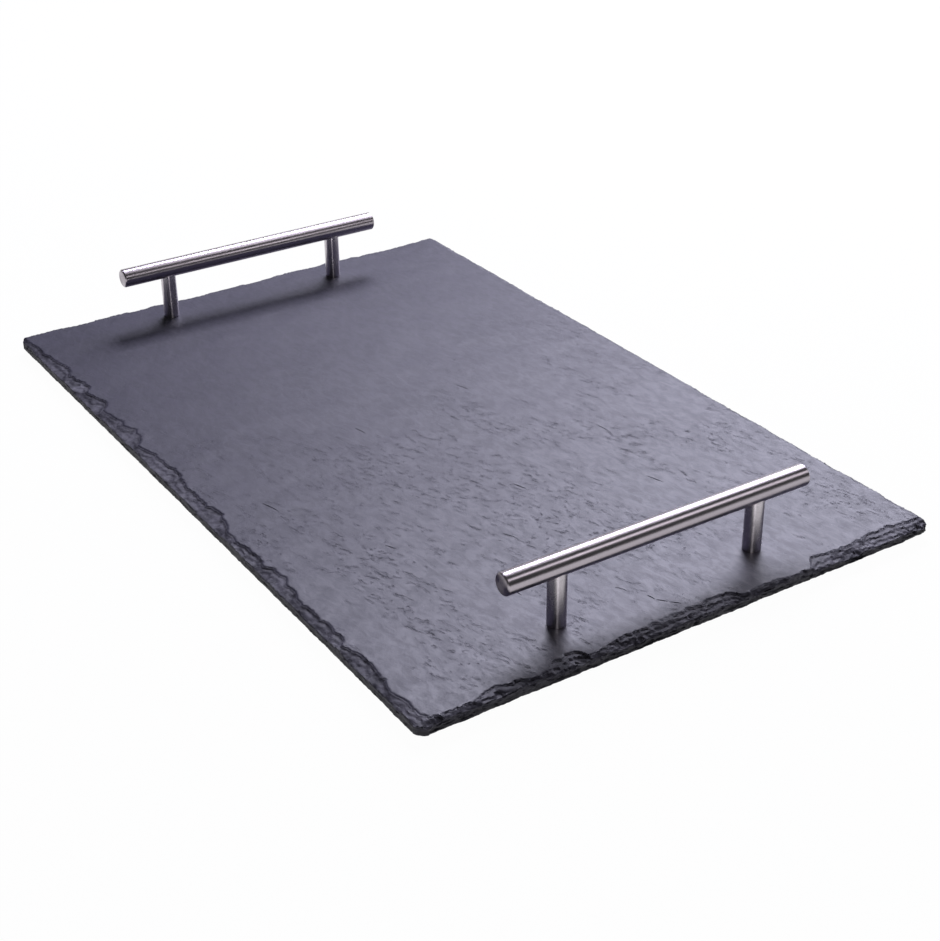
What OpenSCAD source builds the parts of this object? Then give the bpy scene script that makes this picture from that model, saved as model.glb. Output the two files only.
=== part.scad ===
// Slate serving board with two T-bar handles, standing on four bumper feet.
// Millimetres. The origin is the middle of the board's outline, on the plane the feet stand on.
// +X points to the front handle, +Y to the right-hand side, +Z up.

/* [Board] */
// Length of the slate
board_l = 500; // [360:5:600]
// Width of the slate
board_w = 320; // [240:5:420]
// Thickness of the slate
board_t = 7; // [6:0.5:12]

/* [Dressed edge] */
// How far the deepest flake reaches in from the outline
edge_depth = 12; // [6:0.5:16]
// How far the top rim is knocked back at the corners
corner_cut = 6; // [3:0.5:8]
// How far a corner's tip is knocked in from both of its sides
corner_blunt = 1.1; // [0.4:0.1:1.6]
// Length along a side over which a corner's flaking fades out
corner_reach = 40; // [30:1:60]
// Roughness of the broken faces
ragged = 0.5; // [0.1:0.1:0.8]

/* [Handles] */
// Diameter of the gripping bar
bar_d = 12; // [10:0.5:16]
// How far the bar reaches past the axis of each post
bar_overhang = 32; // [18:1:50]
// Chamfer at each end of the bar
bar_chamfer = 0.8; // [0.3:0.1:1.5]
// Height of the bar's axis over the slate
bar_height = 34; // [26:1:50]
// Diameter of a post
post_d = 10; // [9:0.5:10]
// Distance between the posts of one handle
post_spacing = 124; // [90:1:140]
// Distance from the front end of the slate to the front handle
front_inset = 32; // [26:1:60]
// Distance from the rear end of the slate to the rear handle
rear_inset = 24; // [22:1:60]

/* [Bar studs] */
// Diameter of the threaded stud that joins a post to its bar
stud_d = 5; // [4:0.5:6]
// Length of the stud inside the post
stud_in_post = 7; // [5:0.5:9]
// Length of the stud inside the bar
stud_in_bar = 5; // [3:0.5:6]

/* [Screws and washers] */
// Thread diameter of the screw that holds a post
screw_d = 4; // [3:0.5:5]
// Length of the screw under its head
screw_l = 12; // [11:1:14]
// Diameter of the screw head
head_d = 8; // [7:0.5:8.5]
// Height of the screw head
head_h = 3.1; // [2:0.1:3.4]
// Height of the domed part of the head
head_dome = 1.2; // [0.6:0.1:1.6]
// Diameter of the washer
washer_d = 9; // [8.5:0.5:10]
// Thickness of the washer
washer_t = 0.8; // [0.5:0.1:1]
// Diameter of the recess in the underside that takes washer and head
recess_d = 11; // [10.5:0.5:14]
// Depth of that recess
recess_h = 2; // [1.5:0.1:3]

/* [Feet] */
// Diameter of a foot where it is stuck to the slate
foot_d = 12.7; // [10:0.1:20]
// Diameter of the face that the foot stands on
foot_tip_d = 9; // [6:0.5:9.5]
// Height of a foot
foot_h = 3.5; // [3:0.1:8]
// Rounding between the foot's side and its standing face
foot_round = 1; // [0.4:0.1:1.2]
// Distance of a foot's centre from the ends and from the sides of the slate
foot_inset = 46; // [40:1:80]

/* [Hidden] */
$fn = 96;

// Each flake of a dressed side, in order: its share of the side, then its share of edge_depth.
// The left side is read from its rear corner, the front side from its left corner.
left_flake_shares = [
    [30, 0.45], [40, 0.85], [28, 0.90], [24, 0.90], [57, 0.88], [41, 0.75],
    [45, 0.68], [26, 0.66], [20, 0.42], [24, 0.60], [17, 0.66], [22, 0.60],
    [25, 0.54], [24, 0.60], [22, 0.58], [16, 0.60], [8, 0.15], [31, 0.70]
];
front_flake_shares = [
    [12, 0.45], [13, 0.36], [8, 0.33], [25, 0.60], [8, 0.25], [13, 0.30],
    [13, 0.78], [18, 0.33], [25, 0.60], [30, 0.70], [22, 0.78], [19, 0.25],
    [20, 0.12], [13, 0.10], [13, 0.45], [18, 0.66], [31, 0.85], [19, 0.60]
];
// The two far sides carry the same flakes in the other order, dressed more lightly.
side_flake_shares = [
    left_flake_shares,
    front_flake_shares,
    turned(left_flake_shares),
    turned(front_flake_shares)
];
side_depth_share = [1, 1, 0.5, 0.45];

// Terraces of a flake scar, from the underside to the top rim.
// Each has a share of the thickness and a share of how far the flake reaches in.
terrace_shares = [[0, 0.10], [0.36, 0], [0.46, 0.48], [0.66, 0.58], [0.76, 0.86], [1, 1]];
// How much a terrace's height wanders from flake to flake
terrace_wander_share = 0.06;
// Stations along each flake, where the flake's curve leans towards its far end
flake_steps = 6;
flake_lean = 1.25;
flake_fullness = 0.7;
// Turns of the sine that scatters the roughness, the same on every build
scatter_turn = 71.3;
scatter_salt_turn = 37.9;
scatter_gain = 1000;

// Directions and inward normals of the four sides, counter-clockwise from the rear left corner
side_dirs = [[1, 0], [0, 1], [-1, 0], [0, -1]];
side_normals = [[0, 1], [-1, 0], [0, -1], [1, 0]];
side_lengths = [board_l, board_w, board_l, board_w];
side_starts = [
    [-board_l / 2, -board_w / 2],
    [board_l / 2, -board_w / 2],
    [board_l / 2, board_w / 2],
    [-board_l / 2, board_w / 2]
];

// Clearances and overruns
thread_gap = 0.05;
hole_gap = 0.5;
washer_gap = 0.15;
blind_gap = 1;
overrun = 1;
cap_margin = 3;

// Cross recess of a screw head
cross_l = 4.4;
cross_w = 1.1;
cross_h = 1.5;

// Heights that the pieces share
slate_bottom = foot_h;
slate_top = foot_h + board_t;
bar_axis = slate_top + bar_height;
bar_l = post_spacing + 2 * bar_overhang;
saddle_top = bar_axis - bar_d / 2;
washer_top = slate_bottom + recess_h;
head_top = washer_top - washer_t;

// Places that the pieces share
FRONT = 1;
REAR = -1;
LEFT = -1;
RIGHT = 1;
function handle_x(end) = end == FRONT ? board_l / 2 - front_inset : rear_inset - board_l / 2;
function post_place(end, side) = [handle_x(end), side * post_spacing / 2, 0];
function foot_place(end, side) = [
    end * (board_l / 2 - foot_inset),
    side * (board_w / 2 - foot_inset),
    0
];

// Lists
function turned(list) = [for (i = [len(list) - 1:-1:0]) list[i]];
function total(list, count) = count == 0 ? 0 : total(list, count - 1) + list[count - 1][0];
function scatter(place, salt) =
    let (wave = sin(place * scatter_turn + salt * scatter_salt_turn) * scatter_gain)
    wave - floor(wave);

// How deep a flake bites at a share of its own length
function flake_curve(share) =
    pow(1 - pow(abs(2 * pow(share, flake_lean) - 1), 3), flake_fullness);

// Share of a corner's flaking that is left at a distance from the corner
function corner_fade(distance) = max(0, 1 - distance / corner_reach);
function fades(side, along) =
    max(corner_fade(along), corner_fade(side_lengths[side] - along));

// The farthest that any flake may reach in at a place along a side
function reach_limit(side, along) =
    corner_cut + (edge_depth - corner_cut) * (1 - fades(side, along));

// A station: [side, distance along it, how far the rim is set back, number of its flake]
function station(side, flakes, flake, step) =
    let (
        share = (total(flakes, flake) + flakes[flake][0] * step / flake_steps)
            / total(flakes, len(flakes)),
        along = share * side_lengths[side],
        bite = edge_depth * side_depth_share[side] * flakes[flake][1] * flake_curve(step / flake_steps),
        corner_bite = corner_cut * fades(side, along)
    )
    [side, along, min(reach_limit(side, along), max(bite, corner_bite)), flake];

stations = [
    for (side = [0:3])
        for (flake = [0:len(side_flake_shares[side]) - 1])
            for (step = [0:flake_steps - 1])
                station(side, side_flake_shares[side], flake, step)
];
stations_count = len(stations);

// A point set back from the outline. Towards a corner it slides along with the corner's own set-back,
// and the corner itself is blunted.
function edge_point(side, along, set_back, corner_back, height) =
    let (
        slide = corner_back * (corner_fade(along) - corner_fade(side_lengths[side] - along)),
        blunt = along == 0 ? corner_blunt : 0,
        place = side_starts[side]
            + side_dirs[side] * (along + slide + blunt)
            + side_normals[side] * (set_back + blunt)
    )
    [place[0], place[1], slate_bottom + height];

// One ring of points round the board, on one terrace of the flake scars
function terrace_ring(level) = [
    for (i = [0:stations_count - 1])
        let (
            now = stations[i],
            at_corner = now[1] == 0,
            loose = at_corner || level == 0 || level == len(terrace_shares) - 1 ? 0 : 1,
            wander = loose * terrace_wander_share * (2 * scatter(now[3], level + now[0]) - 1),
            height = board_t * (terrace_shares[level][0] + wander),
            rough = (at_corner || now[2] == 0 ? 0 : ragged) * scatter(i, level)
        )
        edge_point(now[0], now[1], terrace_shares[level][1] * now[2] + rough,
            terrace_shares[level][1] * corner_cut, height)
];

// A plain ring just inside the flakes, where the flat faces begin
function face_ring(height) = [
    for (now = stations)
        edge_point(now[0], now[1], reach_limit(now[0], now[1]) + cap_margin,
            corner_cut + cap_margin, height)
];

// The skin between two rings, split so that no triangle folds over a steep flank
function skin(lower, upper) = [
    for (i = [0:stations_count - 1])
        let (
            j = (i + 1) % stations_count,
            a = lower + i,
            b = lower + j,
            c = upper + i,
            d = upper + j,
            rising = stations[j][2] > stations[i][2]
        )
        each rising ? [[a, c, b], [b, c, d]] : [[a, c, d], [a, d, b]]
];

// The slate: dressed edges on all four sides, drilled and counterbored for the posts' screws
module slate_board() {
    rings = concat(
        face_ring(0),
        [for (level = [0:len(terrace_shares) - 1]) each terrace_ring(level)],
        face_ring(board_t)
    );
    ring_count = len(terrace_shares) + 2;
    under_centre = len(rings);
    top_centre = under_centre + 1;
    top_ring = (ring_count - 1) * stations_count;
    color("#565661") difference() {
        polyhedron(
            points = concat(rings, [[0, 0, slate_bottom], [0, 0, slate_top]]),
            faces = concat(
                [for (i = [0:stations_count - 1]) [under_centre, i, (i + 1) % stations_count]],
                [for (ring = [0:ring_count - 2]) each skin(ring * stations_count, (ring + 1) * stations_count)],
                [for (i = [0:stations_count - 1])
                    [top_ring + i, top_centre, top_ring + (i + 1) % stations_count]]
            )
        );
        for (end = [REAR, FRONT], side = [LEFT, RIGHT])
            translate(post_place(end, side)) {
                translate([0, 0, slate_bottom - overrun])
                    cylinder(h = board_t + 2 * overrun, d = screw_d + 2 * hole_gap);
                translate([0, 0, slate_bottom - overrun])
                    cylinder(h = recess_h + overrun, d = recess_d);
            }
    }
}

// A gripping bar across the board, chamfered at both ends and tapped for its two studs
module bar(end) {
    color("#b9b6b4") difference() {
        translate([handle_x(end), bar_l / 2, bar_axis])
            rotate([90, 0, 0])
                rotate_extrude()
                    polygon([
                        [0, 0],
                        [bar_d / 2 - bar_chamfer, 0],
                        [bar_d / 2, bar_chamfer],
                        [bar_d / 2, bar_l - bar_chamfer],
                        [bar_d / 2 - bar_chamfer, bar_l],
                        [0, bar_l]
                    ]);
        for (side = [LEFT, RIGHT])
            translate(post_place(end, side) + [0, 0, saddle_top - overrun])
                cylinder(h = stud_in_bar + thread_gap + overrun, d = stud_d + 2 * thread_gap);
    }
}

// A post, its top cut to a saddle that the bar lies in, tapped at both ends
module post(end, side) {
    color("#a9a6a4") translate(post_place(end, side)) difference() {
        translate([0, 0, slate_top])
            cylinder(h = bar_height, d = post_d);
        translate([0, post_d, bar_axis])
            rotate([90, 0, 0])
                cylinder(h = 2 * post_d, d = bar_d);
        translate([0, 0, slate_top - overrun])
            cylinder(h = head_top + screw_l + blind_gap - slate_top + overrun, d = screw_d + 2 * thread_gap);
        translate([0, 0, saddle_top - stud_in_post - thread_gap])
            cylinder(h = stud_in_post + overrun, d = stud_d + 2 * thread_gap);
    }
}

// The headless stud inside a post's top and the underside of the bar
module bar_stud(end, side) {
    color("#8a8d90")
        translate(post_place(end, side) + [0, 0, saddle_top - stud_in_post])
            cylinder(h = stud_in_post + stud_in_bar, d = stud_d);
}

// The pan-head screw that draws a post down on the slate
module screw(end, side) {
    dome_r = (pow(head_d / 2, 2) + pow(head_dome, 2)) / (2 * head_dome);
    color("#9a9ca0") translate(post_place(end, side)) {
        difference() {
            union() {
                translate([0, 0, head_top - overrun])
                    cylinder(h = screw_l + overrun, d = screw_d);
                intersection() {
                    translate([0, 0, head_top - head_h])
                        cylinder(h = head_h, d = head_d);
                    translate([0, 0, head_top - head_h + dome_r])
                        sphere(r = dome_r);
                }
            }
            for (turn = [0, 90])
                translate([0, 0, head_top - head_h - overrun])
                    rotate([0, 0, turn])
                        translate([-cross_l / 2, -cross_w / 2, 0])
                            cube([cross_l, cross_w, cross_h + overrun]);
        }
    }
}

// The washer that spreads a screw's pull over the stone
module washer(end, side) {
    color("#a4a6a8") translate(post_place(end, side) + [0, 0, head_top]) difference() {
        cylinder(h = washer_t, d = washer_d);
        translate([0, 0, -overrun])
            cylinder(h = washer_t + 2 * overrun, d = screw_d + 2 * washer_gap);
    }
}

// A bumper foot: wide where it is stuck on, narrower and rounded where it stands
module foot(end, side) {
    side_tilt = atan2(foot_h, (foot_d - foot_tip_d) / 2);
    round_steps = 6;
    color("#2b2b2d") translate(foot_place(end, side))
        rotate_extrude()
            polygon(concat(
                [[0, foot_h], [0, 0]],
                [for (i = [0:round_steps])
                    let (turn = (180 - side_tilt) * i / round_steps)
                    [foot_tip_d / 2 - foot_round + foot_round * sin(turn), foot_round - foot_round * cos(turn)]],
                [[foot_d / 2, foot_h]]
            ));
}

slate_board();
bar(FRONT);  // front_bar
bar(REAR);  // rear_bar
post(FRONT, LEFT);  // front_left_post
post(FRONT, RIGHT);  // front_right_post
post(REAR, LEFT);  // rear_left_post
post(REAR, RIGHT);  // rear_right_post
bar_stud(FRONT, LEFT);  // front_left_bar_stud
bar_stud(FRONT, RIGHT);  // front_right_bar_stud
bar_stud(REAR, LEFT);  // rear_left_bar_stud
bar_stud(REAR, RIGHT);  // rear_right_bar_stud
screw(FRONT, LEFT);  // front_left_screw
screw(FRONT, RIGHT);  // front_right_screw
screw(REAR, LEFT);  // rear_left_screw
screw(REAR, RIGHT);  // rear_right_screw
washer(FRONT, LEFT);  // front_left_washer
washer(FRONT, RIGHT);  // front_right_washer
washer(REAR, LEFT);  // rear_left_washer
washer(REAR, RIGHT);  // rear_right_washer
foot(FRONT, LEFT);  // front_left_foot
foot(FRONT, RIGHT);  // front_right_foot
foot(REAR, LEFT);  // rear_left_foot
foot(REAR, RIGHT);  // rear_right_foot
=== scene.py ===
"""A slate serving board with two steel bar handles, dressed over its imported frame."""
import math
import random
from collections import namedtuple

import bmesh
import bpy
from mathutils import Matrix, Vector
from mathutils.noise import fractal


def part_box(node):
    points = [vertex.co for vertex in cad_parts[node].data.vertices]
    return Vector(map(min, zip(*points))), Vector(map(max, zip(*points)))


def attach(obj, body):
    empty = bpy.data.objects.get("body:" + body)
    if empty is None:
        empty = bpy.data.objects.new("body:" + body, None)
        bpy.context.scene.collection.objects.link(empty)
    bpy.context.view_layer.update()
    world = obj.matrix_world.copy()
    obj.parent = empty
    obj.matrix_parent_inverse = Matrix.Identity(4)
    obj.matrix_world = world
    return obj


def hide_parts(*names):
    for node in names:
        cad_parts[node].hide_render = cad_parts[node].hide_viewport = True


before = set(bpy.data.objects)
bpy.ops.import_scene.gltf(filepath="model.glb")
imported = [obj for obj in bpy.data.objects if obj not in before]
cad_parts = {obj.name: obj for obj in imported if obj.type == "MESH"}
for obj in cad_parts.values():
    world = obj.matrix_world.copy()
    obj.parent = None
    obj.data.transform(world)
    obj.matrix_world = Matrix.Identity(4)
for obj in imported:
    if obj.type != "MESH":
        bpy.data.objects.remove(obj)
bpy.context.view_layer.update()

MM = 0.001
HAIR = 0.01 * MM

# Where the board's pieces are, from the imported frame
SLATE_LOW, SLATE_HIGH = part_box("slate_board")
SLATE_LENGTH = SLATE_HIGH.x - SLATE_LOW.x
SLATE_WIDTH = SLATE_HIGH.y - SLATE_LOW.y
SLATE_THICKNESS = SLATE_HIGH.z - SLATE_LOW.z
HALF_LENGTH = SLATE_LENGTH / 2
HALF_WIDTH = SLATE_WIDTH / 2
ENDS = ("front", "rear")
CORNERS = ("front_left", "front_right", "rear_left", "rear_right")

# The blank: its grid, how much finer that is round the rim, and its layers in the thickness
GRID_PITCH = 3 * MM
RIM_CUTS = 3
LAYERS = 2

# The riven faces: long swells, and thin sheets with level steps between them
RELIEF_DEPTH = 0.45 * MM
SWELL_SIZE = 55 * MM
STEP_DEPTH = 0.16 * MM
SHEET_SIZE = 20 * MM
SHEET_LEVELS = ((0.40, 0.25), (0.48, 0.5), (0.55, 0.75), (0.62, 1.0))

# Round what stands on a face or is stuck to it, the stone is level
CALM_RADIUS = 7.5 * MM
CALM_FADE = 9 * MM
CALM_RINGS = 8

# The clefts that stand open in the top face: middle, direction in degrees, length, width. A ring is where
# a cleft narrows, as (share of the length from its middle, share of the width).
CLEFT_DEPTH = 0.45 * MM
CLEFT_CUTS = 3
CLEFT_SINK = 0.25
CLEFT_BEND = 0.35
CLEFT_RINGS = ((0.5, 0.12), (0.25, 0.75))
OPEN_CLEFTS = tuple(
    (x * MM, y * MM, degrees, length * MM, width * MM)
    for x, y, degrees, length, width in (
        (224.5, -9.2, 12, 5.5, 0.8), (230.0, -6.6, 38, 6.0, 1.0), (235.2, -2.4, 42, 6.0, 0.9),
        (137, -34, 24, 9, 0.9), (97, 0, 20, 8, 0.8), (132, 67, 18, 12, 0.9), (67, 80, 4, 12, 0.8),
        (-25, 41, 18, 9, 0.7), (-10, -40, 12, 9, 0.8), (40, -125, 14, 13, 0.9), (157, -110, 20, 9, 0.9),
        (210, -17, 30, 6, 1.0), (184, -62, 8, 8, 0.7), (112, -92, 26, 7, 0.7), (168, 12, 24, 7, 0.7),
    )
)

# The dressed edge: each blow of the hammer is (share of the side's length, share of SCAR_REACH)
LEFT_FLAKES = (
    (30, 0.45), (40, 0.85), (28, 0.90), (24, 0.90), (57, 0.88), (41, 0.75),
    (45, 0.68), (26, 0.66), (20, 0.42), (24, 0.60), (17, 0.66), (22, 0.60),
    (25, 0.54), (24, 0.60), (22, 0.58), (16, 0.60), (8, 0.15), (31, 0.70),
)
FRONT_FLAKES = (
    (12, 0.45), (13, 0.36), (8, 0.33), (25, 0.60), (8, 0.25), (13, 0.30),
    (13, 0.78), (18, 0.33), (25, 0.60), (30, 0.70), (22, 0.78), (19, 0.25),
    (20, 0.12), (13, 0.10), (13, 0.45), (18, 0.66), (31, 0.85), (19, 0.60),
)
EDGE_BAND = 15 * MM
DEEPEST_BREAK = 4.4 * MM

# The furthest that a scar reaches in; then the least and most of its depth at the outline, the height of its
# upper lip, its middle and half width as shares of its stretch of the side, and how far its tooth leans
SCAR_REACH = 12 * MM
SCAR_DEPTH = (2.3 * MM, 4.0 * MM)
SCAR_LIP = (1.0 * MM, 2.3 * MM)
SCAR_MIDDLE = (0.47, 0.55)
SCAR_HALF_WIDTH = (0.62, 0.9)
SCAR_LEAN = (0.1, 0.5)

# A scar's rim: a round scoop where the side broke in steps, and a leaning tooth where it didn't
TOOTH_PEAK = 0.78
TOOTH_CURVE = 0.85
TOOTH_LEAN = 0.35
TOOTH_HEIGHT = 1.05
TOOTH_SHARE = 0.95
SCOOP_INNER_CURVE = 3.2
SCOOP_OUTER_CURVE = 0.62
RIM_WANDER = 0.22
RIM_LUMPS = 8 * MM
RIM_STRIDE = 20 * MM

# A scar's floor: ledges behind the rim, a shelf that falls to the outline, and the blow's ripples on it
STEP_BACK = 2.6 * MM
STEP_SPREAD = 1.3
SHELF_CURVE = 1.3
RIPPLE_DEPTH = 0.08 * MM
RIPPLE_LENGTH = 0.55 * MM
RIPPLE_STRETCH = 1.6
RIPPLE_DRIFT = 5
FLOOR_CRUMBS = 0.09 * MM
FLOOR_RISE = 2 * MM

# A scar's depth on a side whose scars hardly reach in, and on one whose scars reach all the way
SCAR_DEEPENED_BY_REACH = (0.55, 1.0)

# What goes from a first value, where a side broke clean, to a second, where it broke wholly in steps
SCAR_DEEPENED_BY_STEPS = (0.7, 1.05)
RIM_RAGGED = (0.2 * MM, 1.0 * MM)
SHELF_SHARE = (0.8, 1.05)
LEDGE_RISE = (1.8 * MM, 1.0 * MM)
FLOOR_ROUGH = (0.1 * MM, 0.4 * MM)

# The number of ledges and the first one's share of the drop, on a side that broke mostly clean, and on one
# that broke in steps for more than this share
MOSTLY_STEPPED = 0.5
CLEAN_LEDGES = (2, 0.7)
STEPPED_LEDGES = (3, 0.5)

# The slate's laminae: their thickness, the level share of each ledge, and how far the ledges stray
LAMINA = 0.8 * MM
LEDGE_SHARE = 0.62
LEDGE_DRIFT = 0.45
LEDGE_JITTER = 0.16

# The small chips along the outline, with how much the coarse and the fine roughness move their reach
NIBBLE_DEPTH = 1.5 * MM
NIBBLE_SHARE = 0.75
NIBBLE_SHARE_COARSE = 0.4
NIBBLE_RISE = 1.6 * MM
NIBBLE_REACH = 1.7 * MM
NIBBLE_COARSE = 1.3 * MM
NIBBLE_FINE = 0.9 * MM

# Seeded roughness of the broken stone: the size of its lumps, and the layer of the noise it is read from;
# then how its finer octaves fade, and how much finer each is than the last
COARSE = (7 * MM, 3.7)
FINE = (1.6 * MM, 9.1)
DRIFT = (11 * MM, 21.0)
LEDGE_LAYERS = (50, 57, 64)
GRAIN_FADE = 0.9
GRAIN_STEP = 2.0

# How far the rim is driven in: at most, and as shares of that everywhere, by a side's roughness and upwards
SIDE_RAGGED = 2.0 * MM
SIDE_BACK = 0.12
SIDE_BACK_IF_ROUGH = 0.06
SIDE_BACK_UPWARDS = 0.12

# How rough a side's outline is, where the left side's is 1
SHORT_SIDE_ROUGHNESS = 1.7
RIGHT_SIDE_ROUGHNESS = 1.4

# The rim's sheets, crumbs and notches: how far they stray, then lump size, change with a millimetre of
# height, layer and octaves
SHEET_STRAY = 0.15
CRUMB_STRAY = (0.1, 0.16)
NOTCH_STRAY = 0.1
SIDE_SHEETS = (9 * MM, 0.9, 40, 5)
SIDE_CRUMBS = (2.2 * MM, 1.6, 80, 3)
SIDE_NOTCHES = (16 * MM, 0.35, 60, 3)

# How far each corner's tip is knocked in: direction in length, direction in width, distance
CORNER_KNOCK = 2.1 * MM
CORNER_SPREAD = 7 * MM
CORNER_ALLOWANCE = 1.05
CORNER_KNOCKS = ((1, -1, CORNER_KNOCK), (1, 1, 1.2 * MM), (-1, 1, 1.5 * MM), (-1, -1, CORNER_KNOCK))

# Facets round a bar or post, a screw, washer or foot, a washer's recess, and a bore
ROUND_STEPS = 160
SMALL_STEPS = 96
RECESS_STEPS = 64
BORE_STEPS = 48

# A face looks along an axis if its normal has this share of it; an edge is sharp past this many radians
FACING = 0.9
SHARP = 1.2

# The steel
BAR_CHAMFER = 0.8 * MM
BAR_END_INSETS = (0.45, 0.25)
EDGE_BREAK = 0.12 * MM
POST_FOOT_BREAK = 0.25 * MM

# The hardware: radii, and the gaps round a screw or stud in its tapped hole, the slate and the washer
SCREW_RADIUS = 2 * MM
TAPPED_GAP = 0.05 * MM
SLATE_HOLE_GAP = 0.5 * MM
WASHER_GAP = 0.15 * MM
RECESS_RADIUS = 5.5 * MM
HEAD_DOME = 1.2 * MM
DOME_STEPS = 8
SHANK_TIP_BEVEL = 0.4 * MM
CROSS_LENGTH = 4.4 * MM
CROSS_WIDTH = 1.1 * MM
CROSS_DEPTH = 1.5 * MM
FOOT_TIP_RADIUS = 4.5 * MM
FOOT_TIP_ROUND = 1 * MM

# The colours of the slate's riven face, its clefts' painted shade and painted lip highlight, and the broken
# stone at the edge
DEEP_STONE = (0.050, 0.048, 0.074, 1)
CLOUDED_STONE = (0.060, 0.057, 0.086, 1)
PALE_STONE = (0.080, 0.076, 0.110, 1)
STREAKED_STONE = (0.095, 0.09, 0.126, 1)
MICA = (0.15, 0.15, 0.17, 1)
# Painted highlight on the clefts' lips, and painted shade in the clefts
CLEFT_LIP_PAINTED_HIGHLIGHT = (0.14, 0.137, 0.165, 1)
CLEFT_PAINTED_SHADE = (0.022, 0.021, 0.029, 1)
BROKEN_DARK = (0.050, 0.047, 0.067, 1)
BROKEN_PALE = (0.16, 0.153, 0.19, 1)
# Painted shade on the broken stone's lower part
BROKEN_PAINTED_SHADE = (0.024, 0.023, 0.032, 1)

# The colours of the metal and rubber. Bars and posts are one steel, toned darker on the bars and lighter on
# the posts as painted shade and painted light
BAR_STEEL_SHADED = (0.475, 0.432, 0.472)
POST_STEEL_LIT = (0.60, 0.562, 0.598)
ZINC_DULL = (0.46, 0.47, 0.49, 1)
ZINC_BRIGHT = (0.60, 0.61, 0.62, 1)
RUBBER_BLACK = (0.018, 0.018, 0.019, 1)
RUBBER_DUSTY = (0.034, 0.034, 0.036, 1)

# The camera, fitted to the photograph, in the frame whose floor is z = 0
IMAGE_WIDTH = 940
IMAGE_HEIGHT = 941
FOCAL_PIXELS = 1709.619
SENSOR = 36.0
NEAREST_SEEN = 10 * MM
VIEW_AZIMUTH, VIEW_ELEVATION, VIEW_ROLL = 57.172, 29.085, -0.597
VIEW_DISTANCE, VIEW_RIGHT, VIEW_UP = 1015.84 * MM, 25.092 * MM, -30.775 * MM

# The light: soft boxes as (name, middle, what they face, width along the bars, height, brightness, colour)
COOL = (0.85, 0.843, 1.0)
NEUTRAL = (1.0, 0.97, 1.0)
SOFTBOXES = (
    ("broad_softbox", (-0.70, 1.217, 0.926), (0, 0, 0), 1.0, 0.97, 6.9, COOL),
    ("high_softbox", (-1.09, 0.75, 1.60), (0, 0, 0), 0.66, 0.66, 19.0, COOL),
)
# Cards that light the steelwork alone, for what it reflects
CARDS = (
    ("overhead_card", (-0.12, 0.45, 0.9), (0, 0, 0), 1.0, 0.48, 1.2, NEUTRAL),
    ("front_card", (0.62, 0.35, 0.56), (0.218, 0, 0), 0.9, 0.22, 1.9, NEUTRAL),
    ("back_card", (-1.0, 0.5, 0.32), (0, 0, 0.05), 2.0, 0.4, 0.9, NEUTRAL),
)
# A low card whose streak runs down the posts alone
POST_CARD = ("post_card", (0.70, -0.31, 0.17), (0.218, 0, 0), 0.2, 0.3, 8.0, NEUTRAL)
WHITE = (1, 1, 1, 1)
WORLD_FILL = 0.025
WORLD_IN_METAL = 0.06
FLOOR_SIZE = 8
FLOOR_DROP = 0.1 * MM
FLOOR_IN_METAL = 0.9
FLOOR_GLOW = 1.02
FLOOR_GLOW_SHARE = 0.96
FLOOR_PAPER = (0.5, 0.5, 0.51, 1)

dice = random.Random(11)

# An upright round piece: its axis, radius, and lowest and highest points
Upright = namedtuple("Upright", "x y radius low high")

# A side of the slab and its scars, and the stone's roughness at a place
Side = namedtuple("Side", "corner ahead inward scars stepped")
Scar = namedtuple("Scar", "middle half_width reach depth lip lean")
Rough = namedtuple("Rough", "coarse fine wanders")

# A kind of piece: its model, its CAD nodes' and pieces' last words, its slot, material and crease angle
Kind = namedtuple("Kind", "model node name slot material crease")

# The patterns of a riven face, and those of the broken stone with the band that shows them
Riven = namedtuple("Riven", "cloudy patchy streaky specks cleft lip")
Broken = namedtuple("Broken", "band sheets grit")


# Shaping


def only(piece):
    """Make a piece the one selected and active object."""
    if bpy.context.mode != "OBJECT":
        bpy.ops.object.mode_set(mode="OBJECT")
    bpy.ops.object.select_all(action="DESELECT")
    piece.select_set(True)
    bpy.context.view_layer.objects.active = piece
    return piece


def settle(piece):
    """Put a piece's place, turn and scale into its mesh."""
    only(piece)
    bpy.ops.object.transform_apply(location=True, rotation=True, scale=True)
    return piece


def pick(piece, wanted, kind="FACE"):
    """Enter edit mode with the faces, edges or vertices selected for which wanted(item) is true."""
    only(piece)
    bpy.ops.object.mode_set(mode="EDIT")
    bpy.ops.mesh.select_mode(type=kind)
    bpy.ops.mesh.select_all(action="DESELECT")
    shape = bmesh.from_edit_mesh(piece.data)
    shape.normal_update()
    for item in {"FACE": shape.faces, "EDGE": shape.edges, "VERT": shape.verts}[kind]:
        if wanted(item):
            item.select_set(True)
    shape.select_flush_mode()
    bmesh.update_edit_mesh(piece.data)


def leave_edit():
    bpy.ops.object.mode_set(mode="OBJECT")


def apply_modifiers(piece):
    """Apply a piece's modifiers in their order."""
    only(piece)
    for modifier in list(piece.modifiers):
        bpy.ops.object.modifier_apply(modifier=modifier.name)
    return piece


def cut(piece, cutter):
    """Take a closed cutter out of a piece and throw the cutter away."""
    carve = piece.modifiers.new("cut", "BOOLEAN")
    carve.operation = "DIFFERENCE"
    carve.solver = "MANIFOLD"
    carve.object = cutter
    apply_modifiers(piece)
    bpy.data.objects.remove(cutter)


def joined(pieces):
    """Join several pieces into one."""
    only(pieces[0])
    for piece in pieces:
        piece.select_set(True)
    bpy.ops.object.join()
    return bpy.context.object


def middle(node):
    """The middle of a CAD node's box."""
    low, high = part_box(node)
    return (low + high) / 2


def upright(node):
    """Where an upright round CAD node stands."""
    low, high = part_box(node)
    return Upright((low.x + high.x) / 2, (low.y + high.y) / 2, (high.x - low.x) / 2, low.z, high.z)


def cylinder(radius, low, high, x, y, steps=ROUND_STEPS):
    """An upright cylinder from height low to height high."""
    bpy.ops.mesh.primitive_cylinder_add(
        vertices=steps, radius=radius, depth=high - low, location=(x, y, (low + high) / 2)
    )
    return settle(bpy.context.object)


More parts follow.
